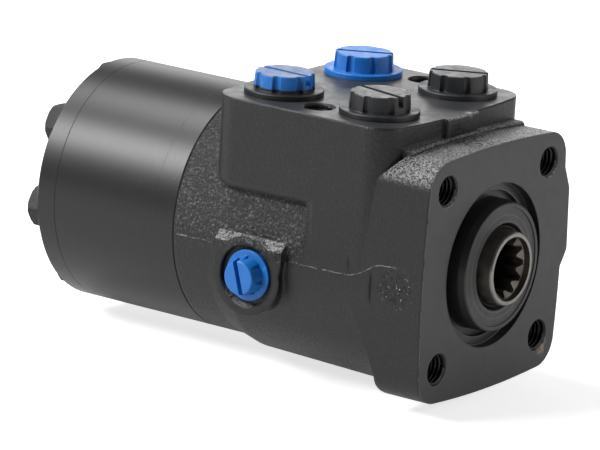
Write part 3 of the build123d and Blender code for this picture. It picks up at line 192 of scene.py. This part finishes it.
class Surface:
    """One procedural material, built node by node in the part's own coordinates."""

    def __init__(self, name):
        self.material = bpy.data.materials.new(name)
        self.material.use_nodes = True
        self.tree = self.material.node_tree
        self.shader = self.tree.nodes["Principled BSDF"]
        self.place = self.add("ShaderNodeTexCoord").outputs["Object"]
        self.axes = None

    def add(self, kind, **settings):
        node = self.tree.nodes.new(kind)
        for key, value in settings.items():
            setattr(node, key, value)
        return node

    def put(self, socket, value):
        if isinstance(value, bpy.types.NodeSocket):
            self.tree.links.new(value, socket)
        else:
            socket.default_value = value

    def set(self, **values):
        for key, value in values.items():
            self.put(self.shader.inputs[key.replace("_", " ")], value)

    def axis(self, name):
        """One of the part's coordinates, in metres."""
        if self.axes is None:
            self.axes = self.add("ShaderNodeSeparateXYZ")
            self.put(self.axes.inputs[0], self.place)
        return self.axes.outputs[name]

    def off_shaft(self):
        """Distance from the shaft's axis, in metres."""
        squares = [self.math("POWER", self.axis(name), 2.0) for name in ("Y", "Z")]
        return self.math("POWER", self.math("ADD", *squares), 0.5)

    def facing(self, name):
        """One component of the surface's direction."""
        split = self.add("ShaderNodeSeparateXYZ")
        self.put(split.inputs[0], self.add("ShaderNodeNewGeometry").outputs["Normal"])
        return split.outputs[name]

    def noise(self, scale, detail=3.0, roughness=0.55, stretch=None):
        node = self.add("ShaderNodeTexNoise")
        source = self.place
        if stretch:
            mapping = self.add("ShaderNodeMapping")
            self.put(mapping.inputs["Vector"], source)
            mapping.inputs["Scale"].default_value = stretch
            source = mapping.outputs[0]
        self.put(node.inputs["Vector"], source)
        self.put(node.inputs["Scale"], scale)
        self.put(node.inputs["Detail"], detail)
        self.put(node.inputs["Roughness"], roughness)
        return node.outputs["Fac"]

    def cells(self, scale):
        node = self.add("ShaderNodeTexVoronoi", feature="F1")
        self.put(node.inputs["Vector"], self.place)
        self.put(node.inputs["Scale"], scale)
        return node.outputs["Distance"]

    def math(self, operation, a, b=0.0):
        node = self.add("ShaderNodeMath", operation=operation)
        self.put(node.inputs[0], a)
        self.put(node.inputs[1], b)
        return node.outputs[0]

    def span(self, source, low, high, at_low=0.0, at_high=1.0):
        """Smooth step of a value from one level to another."""
        node = self.add("ShaderNodeMapRange", interpolation_type="SMOOTHSTEP")
        for socket, value in zip(node.inputs, (source, low, high, at_low, at_high)):
            self.put(socket, value)
        return node.outputs[0]

    def past(self, source, edge):
        """Smooth step of a length over an edge given in millimetres."""
        return self.span(source, edge[0] * MM, edge[1] * MM)

    def usual(self, source, low, high):
        """Spreads a noise between two values."""
        return self.span(source, *USUAL_NOISE, low, high)

    def away(self, source, place):
        """Distance of a coordinate from a place in millimetres."""
        return self.math("ABSOLUTE", self.math("SUBTRACT", source, place * MM))

    def product(self, first, *others):
        for other in others:
            first = self.math("MULTIPLY", first, other)
        return first

    def most(self, first, *others):
        for other in others:
            first = self.math("MAXIMUM", first, other)
        return first

    def blend(self, factor, a, b):
        node = self.add("ShaderNodeMix", data_type="RGBA")
        self.put(node.inputs["Factor"], factor)
        self.put(node.inputs[6], a if isinstance(a, bpy.types.NodeSocket) else (*a, 1.0))
        self.put(node.inputs[7], b if isinstance(b, bpy.types.NodeSocket) else (*b, 1.0))
        return node.outputs[2]

    def mottle(self, tones, scale, detail=3.0):
        """Two colours mixed by a noise."""
        return self.blend(self.noise(scale, detail), *tones)

    def level(self, factor, a, b):
        node = self.add("ShaderNodeMix", data_type="FLOAT")
        self.put(node.inputs["Factor"], factor)
        self.put(node.inputs[2], a)
        self.put(node.inputs[3], b)
        return node.outputs[0]

    def bump(self, height, distance, strength=1.0, normal=None):
        node = self.add("ShaderNodeBump")
        self.put(node.inputs["Height"], height)
        self.put(node.inputs["Distance"], distance)
        self.put(node.inputs["Strength"], strength)
        if normal is not None:
            self.put(node.inputs["Normal"], normal)
        return node.outputs[0]

    def rounded(self, radius):
        """Softens the shading of sharp edges, as paint and casting do."""
        node = self.add("ShaderNodeBevel", samples=6)
        self.put(node.inputs["Radius"], radius)
        return node.outputs[0]

    def wear(self, radius):
        """High along sharp edges, from the turn between plain and softened direction."""
        node = self.add("ShaderNodeVectorMath", operation="DOT_PRODUCT")
        self.put(node.inputs[0], self.rounded(radius))
        self.put(node.inputs[1], self.add("ShaderNodeNewGeometry").outputs["Normal"])
        return self.span(node.outputs["Value"], *WORN_TURN)

    def dress(self, *names):
        for name in names:
            data = nodes[name].data
            data.materials.clear()
            data.materials.append(self.material)


def seam_line(s):
    """Chipped parting line that the foundry's mould halves leave along the left side."""
    x, z = s.axis("X"), s.axis("Z")
    course = s.level(s.past(x, SEAM_STEP_X), SEAM_REAR_Z * MM, SEAM_FRONT_Z * MM)
    wander = s.product(s.math("SUBTRACT", s.noise(85.0), 0.5), SEAM_WANDER * MM)
    off = s.math("ABSOLUTE", s.math("SUBTRACT", z, s.math("ADD", course, wander)))
    thickness = s.level(s.noise(260.0, 2.0), SEAM_THIN * MM, SEAM_THICK * MM)
    core = s.span(off, thickness, s.product(thickness, 0.4))
    broken = s.span(s.noise(420.0, 4.0, 0.7), 0.4, 0.55)
    ahead = s.product(s.past(x, SEAM_AHEAD_OF_PAD_X), s.past(x, SEAM_END_X))
    ahead = s.product(ahead, s.level(s.past(x, SEAM_STRONG_X), 0.35, 1.0))
    reach = s.math("ADD", s.past(x, SEAM_BEHIND_PAD_X), ahead)
    return s.product(core, broken, reach, s.span(s.facing("Y"), *LEFT_SIDE))


def patch(s, centre, radius, scale, low, high):
    """Ragged spot round a place given in millimetres."""
    away = s.add("ShaderNodeVectorMath", operation="DISTANCE")
    s.put(away.inputs[0], s.place)
    away.inputs[1].default_value = [c * MM for c in centre]
    near = s.past(away.outputs["Value"], (radius, radius * 0.3))
    return s.product(near, s.span(s.noise(scale, 4.0, 0.6), low, high))


def casting_zones(s):
    """Where the casting was machined, where its sand grain stands out, and where a painted glint goes."""
    x, y, z, radius = s.axis("X"), s.axis("Y"), s.axis("Z"), s.off_shaft()
    front, up = s.facing("X"), s.facing("Z")
    flange_face = s.product(s.past(x, FLANGE_FACE_X), s.span(front, *SQUARE_ON))
    port_face = s.product(s.past(z, PORT_FACE_STEP_Z), s.span(up, *SQUARE_ON))
    nose = s.product(s.past(radius, NOSE_R), s.past(x, NOSE_X))
    barrel = s.product(s.past(x, BEHIND_BLOCK_X), s.past(radius, BARREL_R), s.past(z, BARREL_Z))
    ledge = s.product(s.past(x, BEHIND_BLOCK_X), s.past(z, LEDGE_TOP_Z), s.past(z, LEDGE_FOOT_Z))
    shoulder = s.product(s.past(x, SHOULDER_X), s.past(z, SHOULDER_Z), s.span(up, *SHOULDER_SLOPE))
    pad_top = s.product(s.past(y, PAD_Y), s.span(up, *PAD_SLOPE), s.past(x, PAD_X))
    return SimpleNamespace(
        radius=radius, front=front, flange_face=flange_face, port_face=port_face, nose=nose,
        cast=s.math("SUBTRACT", 1.0, s.most(flange_face, port_face, nose)),
        bright=s.most(shoulder, pad_top), rough=s.most(barrel, ledge, shoulder, pad_top))


def casting_tone(s, zone):
    """The paint's colour before any marks, with grains showing through the paint in the rough zones,
    lightened there also as painted sparkle, and a painted glint where the shoulder and the pad's top face
    up.
    """
    grain_and_sparkle = s.span(s.noise(GRAIN_AND_SPARKLE_SCALE, roughness=0.7), 0.5, 0.72)
    colour = s.mottle(CAST_TONES, 55.0, 4.0)
    # grain colour in the rough zones: partly uncoated grains, partly painted sparkle that lightens the lit
    # upper barrel, the shoulder and the pad's top
    colour = s.blend(s.product(grain_and_sparkle, s.level(zone.rough, 0.06, 0.95)), colour, GRAIN_AND_SPARKLE_TONE)
    # painted glint: a highlight painted into the colour where the flange's shoulder and the pad's top face
    # up
    glint = s.product(zone.bright, s.span(s.noise(GLINT_SCALE, roughness=0.7), 0.42, 0.58))
    colour = s.blend(glint, colour, GLINT_TONE)
    worn = s.product(s.wear(0.7 * MM), s.span(s.noise(160.0, 4.0), 0.52, 0.68), 0.7)
    colour = s.blend(worn, colour, CAST_WORN_TONE)
    # machined faces: greyer paint, lightened further as painted light on the front-facing flange face and
    # the upward port face
    colour = s.blend(zone.flange_face, colour, s.mottle(FLANGE_FACE_MACHINED_AND_LIT_TONES, 120.0, 5.0))
    return s.blend(zone.port_face, colour, s.mottle(PORT_FACE_MACHINED_AND_LIT_TONES, 140.0, 5.0))


def casting_marks(s, colour, seam):
    """Bright flange rim, parting line, chip, rust and rubbed paint."""
    rim = s.product(s.wear(0.5 * MM), s.past(s.axis("X"), FLANGE_RIM_X))
    rim = s.product(rim, s.span(s.noise(300.0, 4.0), 0.36, 0.5), 0.8)
    colour = s.blend(rim, colour, RIM_TONE)
    colour = s.blend(s.product(seam, 0.85), colour, SEAM_TONE)
    colour = s.blend(patch(s, *FRONT_CHIP), colour, CHIP_TONE)
    colour = s.blend(patch(s, *RUST_SPOT), colour, s.mottle(RUST_TONES, 900.0))
    rub = s.product(patch(s, *RUB_MARK), s.span(s.noise(90.0, 2.0), 0.4, 0.6), 0.4)
    return s.blend(rub, colour, RUB_TONE)


def nose_rings(s, zone, colour):
    """Bore walls behind the flange's face, with the light lines of two turned edges."""
    colour = s.blend(zone.nose, colour, s.mottle(NOSE_TONES, 200.0, 4.0))
    for ring_r in NOSE_RINGS_R:
        line = s.past(s.away(zone.radius, ring_r), NOSE_RING_WIDTH)
        line = s.product(line, zone.nose, s.span(zone.front, *MOSTLY_ON), 0.7)
        colour = s.blend(line, colour, NOSE_RING_TONE)
    return colour


def casting_normal(s, zone, grain, shaded_dents, seam):
    """Grain, pinholes, pits and parting line in relief, over softened edges."""
    pinholes = s.span(s.cells(PINHOLE_SCALE), 0.0, 0.16, 1.0, 0.0)
    coarse = s.product(s.noise(COARSE_GRAIN_SCALE, roughness=0.6), s.level(zone.rough, 0.3, 1.9))
    relief = s.math("ADD", s.product(grain, s.level(zone.rough, 0.28, 1.0)), coarse)
    relief = s.math("SUBTRACT", relief, s.product(pinholes, 0.25))
    relief = s.math("SUBTRACT", relief, s.product(shaded_dents, 1.6))
    relief = s.math("ADD", relief, s.product(seam, 0.9))
    base = s.rounded(s.level(zone.cast, 0.4 * MM, 1.5 * MM))
    normal = s.bump(s.product(relief, zone.cast), 0.5 * MM, 1.0, base)
    return s.bump(s.noise(FINE_GRAIN_SCALE, 2.0), 0.03 * MM, 0.6, normal)


def housing_paint():
    """Satin black paint over sand-cast iron, smooth and greyer where it was machined, with the flange face
    and the port face lightened further by painted light.
    """
    s = Surface("cast_black_paint")
    zone = casting_zones(s)
    grain = s.noise(GRAIN_SCALE, roughness=0.62)
    seam = seam_line(s)
    side_pits = patch(s, *SIDE_PITS)
    shaded_dents = s.most(side_pits, patch(s, *TOP_PITS), patch(s, *PAD_HOLLOW))
    colour = casting_marks(s, casting_tone(s, zone), seam)
    # painted shade: the pits, the pad's hollow and the pitted saddle patch are darkened in colour as if in
    # shade
    colour = s.blend(s.product(shaded_dents, 0.85), colour, PIT_SHADE_TONE)
    colour = nose_rings(s, zone, colour)
    flecks = s.product(side_pits, s.span(s.noise(1400.0, 2.0, 0.7), 0.56, 0.64))
    shine = s.level(zone.cast, s.usual(s.noise(240.0), 0.34, 0.44), s.usual(grain, 0.36, 0.5))
    s.set(Base_Color=s.blend(flecks, colour, FLECK_TONE), Roughness=shine,
          Normal=casting_normal(s, zone, grain, shaded_dents, seam), Specular_IOR_Level=PAINT_SPECULAR)
    return s


def turned_paint(name, joints=(), shine=TURNED_SHINE, tone=1.0):
    """The same paint on turned steel: smooth, with a faint orange peel, specks and drawn joints."""
    s = Surface(name)
    colour = s.mottle([[c * tone for c in colour] for colour in TURNED_TONES], 30.0)
    specks = s.product(s.span(s.cells(160.0), 0.0, 0.05, 1.0, 0.0), s.span(s.noise(90.0, 2.0), 0.55, 0.62))
    colour = s.blend(specks, colour, SPECK_TONE)
    scratches = s.span(s.noise(700.0, 2.0, 0.5, stretch=(3.0, 0.15, 0.15)), 0.66, 0.72)
    scratches = s.product(scratches, s.span(s.noise(40.0, 2.0), 0.5, 0.6), 0.35)
    colour = s.blend(scratches, colour, SCRATCH_TONE)
    worn = s.product(s.wear(0.4 * MM), s.span(s.noise(200.0, 4.0), 0.52, 0.66), 0.7)
    colour = s.blend(worn, colour, TURNED_WORN_TONE)
    groove = 0.0
    for x, half_width in joints:
        groove = s.most(groove, s.past(s.away(s.axis("X"), x), (half_width, half_width * 0.5)))
    colour = s.blend(groove, colour, JOINT_TONE)
    streaks = s.noise(900.0, 2.0, 0.5, stretch=(1.0, 0.12, 0.12))
    peel = s.math("ADD", s.noise(PEEL_SCALE, 2.0, 0.4), streaks)
    s.set(Base_Color=colour, Normal=s.bump(peel, 0.012 * MM, 0.4, s.rounded(0.12 * MM)),
          Roughness=s.level(groove, s.usual(s.noise(1200.0), *shine), 1.0),
          Specular_IOR_Level=PAINT_SPECULAR)
    return s


def steel(name, tone, roughness, scale=800.0):
    """Bare steel with fine streaks along the shaft and light stains."""
    s = Surface(name)
    streaks = s.noise(scale, 3.0, 0.6, stretch=(0.08, 1.0, 1.0))
    colour = s.mottle(([c * 0.75 for c in tone], tone), 150.0, 4.0)
    s.set(Base_Color=colour, Metallic=1.0, Normal=s.bump(streaks, 0.02 * MM, 0.7, s.rounded(0.15 * MM)),
          Roughness=s.usual(streaks, roughness - 0.06, roughness + 0.08))
    return s


def spool_steel():
    """Browned shaft end with a thin worn rim, a dull outside and oily spline walls that darken deeper in
    the bore as painted shade.
    """
    s = Surface("spool_steel")
    x, radius = s.axis("X"), s.off_shaft()
    end = s.product(s.past(x, SPOOL_END_X), s.past(radius, SPOOL_RIM_R))
    inside = s.product(s.past(radius, SPOOL_INSIDE_R), s.past(x, SPOOL_INSIDE_X))
    stain = s.noise(260.0, 4.0)
    mouth = s.blend(stain, *SPOOL_INNER_TONES)
    # painted shade: the spline walls darken deeper in the bore
    inner = s.blend(s.past(x, SPOOL_SHADE_DEPTH_X), s.blend(stain, *SPOOL_DEEP_SHADE_TONES), mouth)
    rim = s.blend(s.noise(700.0, 3.0, 0.6), *SPOOL_RIM_TONES)
    colour = s.blend(end, s.blend(inside, s.blend(stain, *SPOOL_OUTER_TONES), inner), rim)
    normal = s.bump(s.noise(1500.0, 3.0, 0.6), 0.02 * MM, 0.6, s.rounded(0.2 * MM))
    shine = s.level(end, s.usual(stain, 0.36, 0.52), 0.28)
    s.set(Base_Color=colour, Metallic=0.85, Roughness=shine, Normal=normal)
    return s


def rubber(name):
    """Dusty rubber with light rings where the lips were moulded."""
    s = Surface(name)
    dust = s.noise(350.0, 4.0)
    colour = s.blend(dust, *RUBBER_TONES)
    radius, front = s.off_shaft(), s.span(s.facing("X"), *SEAL_FRONT)
    for ring_r in SEAL_RINGS_R:
        line = s.product(s.past(s.away(radius, ring_r), SEAL_RING_WIDTH), front, 0.6)
        colour = s.blend(line, colour, RUBBER_RING_TONE)
    normal = s.bump(s.noise(1400.0), 0.04 * MM, 0.7, s.rounded(0.3 * MM))
    s.set(Base_Color=colour, Roughness=s.usual(dust, 0.42, 0.6), Normal=normal)
    return s


def overspray(s, colour, amount):
    """Grey paint dust on what faces up."""
    crown = s.product(s.span(s.facing("Z"), *MOSTLY_ON), s.past(s.axis("Z"), PLUG_CROWN_Z))
    dust = s.product(crown, s.span(s.noise(520.0, 5.0, 0.7), 0.36, 0.56), amount)
    return s.blend(dust, colour, s.mottle(OVERSPRAY_TONES, 800.0))


def painted_rim(s, colour):
    """Black paint on the part of a plug's flange that lies towards the cylinder."""
    slant = s.math("ADD", s.axis("X"), s.product(s.axis("Y"), OVERSPRAY_SLANT))
    edge = s.math("ADD", slant, s.product(s.noise(160.0), OVERSPRAY_WANDER * MM))
    rim = s.product(s.past(s.axis("Z"), PLUG_RIM_Z), s.past(edge, OVERSPRAY_EDGE))
    return s.blend(rim, colour, PLUG_RIM_TONE)


def plastic(name, tones, dust=0.0, rim_painted=False):
    """Moulded plastic with a faint grain and light scuffs."""
    s = Surface(name)
    tone = s.noise(240.0, 4.0)
    colour = s.blend(tone, *tones)
    scuffs = s.product(s.span(s.noise(600.0, 4.0, 0.7, stretch=(1.0, 1.0, 0.25)), 0.6, 0.7), 0.35)
    colour = s.blend(scuffs, colour, [min(1.0, c * 2.2 + 0.01) for c in tones[1]])
    if dust:
        colour = overspray(s, colour, dust)
    if rim_painted:
        colour = painted_rim(s, colour)
    normal = s.bump(s.noise(1300.0), 0.04 * MM, 0.6, s.rounded(0.4 * MM))
    s.set(Base_Color=colour, Roughness=s.usual(tone, 0.36, 0.5), Normal=normal)
    return s


def mesh_piece(name, points, faces, surface, body):
    mesh = bpy.data.meshes.new(name)
    mesh.from_pydata(points, [], faces)
    mesh.validate()
    for polygon in mesh.polygons:
        polygon.use_smooth = True
    piece = bpy.data.objects.new(name, mesh)
    bpy.context.scene.collection.objects.link(piece)
    mesh.materials.append(surface.material)
    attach(piece, body)


def thread(name, mouth, inward, surface):
    """Helical thread ridge inside a tapped hole, as one closed band."""
    way = Vector(inward)
    across = Vector((0, 1, 0)) if abs(way.y) < 0.5 else Vector((1, 0, 0))
    upward = way.cross(across)
    profile = [(0.0, -THREAD_FOOT), (-THREAD_DEPTH, -THREAD_CREST),
               (-THREAD_DEPTH, THREAD_CREST), (0.0, THREAD_FOOT)]
    points, faces = [], []
    for step in range(THREAD_TURNS * THREAD_STEPS + 1):
        turn = 2 * pi * step / THREAD_STEPS
        outward = across * cos(turn) + upward * sin(turn)
        depth = THREAD_START + THREAD_PITCH * step / THREAD_STEPS
        for radial, axial in profile:
            point = outward * (THREAD_R + radial) + way * (depth + axial * THREAD_PITCH)
            points.append((Vector(mouth) + point) * MM)
    count = len(profile)
    for step in range(THREAD_TURNS * THREAD_STEPS):
        for k in range(count):
            a, b = step * count + k, step * count + (k + 1) % count
            faces.append((a, b, b + count, a + count))
    faces.append(tuple(range(count)))
    faces.append(tuple(reversed(range(len(points) - count, len(points)))))
    mesh_piece(name, points, faces, surface, "housing")


def area_light(name, direction, distance, size, power):
    data = bpy.data.lights.new(name, "AREA")
    data.shape = "RECTANGLE"
    data.size, data.size_y = size
    data.energy = power
    light = bpy.data.objects.new(name, data)
    aim = Vector(LAMP_AIM)
    light.location = aim + Vector(direction).normalized() * distance
    light.rotation_euler = (aim - light.location).to_track_quat("-Z", "Y").to_euler()
    bpy.context.scene.collection.objects.link(light)


def world_light():
    world = bpy.data.worlds.new("studio")
    bpy.context.scene.world = world
    world.use_nodes = True
    background = world.node_tree.nodes["Background"]
    background.inputs["Color"].default_value = WHITE
    background.inputs["Strength"].default_value = WORLD_STRENGTH


def lay_floor():
    """Pale sweep that looks white, also in reflections, and still takes the shadow."""
    half = FLOOR_HALF
    mesh = bpy.data.meshes.new("floor")
    corners = [(-half, -half, 0), (half, -half, 0), (half, half, 0), (-half, half, 0)]
    mesh.from_pydata(corners, [], [(0, 1, 2, 3)])
    floor = bpy.data.objects.new("floor", mesh)
    floor.location.z = FLOOR_Z * MM
    bpy.context.scene.collection.objects.link(floor)
    s = Surface("floor_paper")
    path = s.add("ShaderNodeLightPath").outputs
    mirrored = s.most(path["Is Glossy Ray"], path["Is Transmission Ray"])
    seen = s.product(path["Is Camera Ray"], FLOOR_SEEN_LIFT)
    s.set(Base_Color=s.mottle(FLOOR_TONES, 3.0, 2.0), Roughness=0.9, Emission_Color=WHITE,
          Emission_Strength=s.math("ADD", seen, s.product(mirrored, FLOOR_MIRRORED_LIFT)))
    mesh.materials.append(s.material)


def set_camera():
    data = bpy.data.cameras.new("camera")
    data.sensor_width = CAMERA_SENSOR
    data.lens = CAMERA_LENS
    camera = bpy.data.objects.new("camera", data)
    camera.location = CAMERA_PLACE
    roll = Quaternion((0, 0, 1), radians(CAMERA_ROLL))
    camera.rotation_mode = "QUATERNION"
    aim = Vector(CAMERA_AIM) - camera.location
    camera.rotation_quaternion = aim.to_track_quat("-Z", "Y") @ roll
    bpy.context.scene.collection.objects.link(camera)
    bpy.context.scene.camera = camera
    bpy.context.scene.view_settings.view_transform = "Standard"


world_light()
lay_floor()
for lamp in LAMPS:
    area_light(*lamp)
set_camera()

housing_paint().dress("housing")
turned_paint("stack_black_paint", STACK_JOINTS).dress("distributor_plate", "gear_ring", "end_cover")
turned_paint("screw_black_paint", (), SCREW_SHINE, SCREW_TONE).dress(
    "cover_screws", "cover_screw_check", "cover_washers", "relief_plug")
spool_steel().dress("spool")
steel("ground_steel", GROUND_STEEL, 0.3).dress(
    "sleeve", "cross_pin", "cardan_shaft", "spacer", "gear_rotor", "thrust_race_front", "thrust_race_rear",
    "thrust_needles", "check_valve_ball", "check_valve_pin", "relief_cone")
steel("spring_steel", SPRING_STEEL, 0.36, 1200.0).dress(
    "springs_flat", "springs_arched", "spring_ring", "relief_spring", "needle_cage", "check_valve_bushing",
    "relief_adjuster")
rubber("seal_rubber").dress("dust_seal", "shaft_seal_ring", "o_ring_plate", "o_ring_gear_front",
                            "o_ring_gear_rear", "relief_plug_seal")
plastic("blue_plastic", BLUE).dress("plug_t", "plug_ls")
plastic("blue_plastic_sprayed", BLUE, dust=0.85, rim_painted=True).dress("plug_p")
plastic("dark_plastic", BLACK_PLASTIC, dust=0.9).dress("plug_l", "plug_r")

thread_metal = turned_paint("thread_paint")
for index, (y, z) in enumerate(M10_HOLES_ON_FLANGE):
    thread(f"flange_thread_{index + 1}", (0, y, z), (-1, 0, 0), thread_metal)
for index, (x, y) in enumerate(M10_HOLES_ON_BLOCK):
    thread(f"block_thread_{index + 1}", (x, y, PORT_FACE_Z), (0, 0, -1), thread_metal)
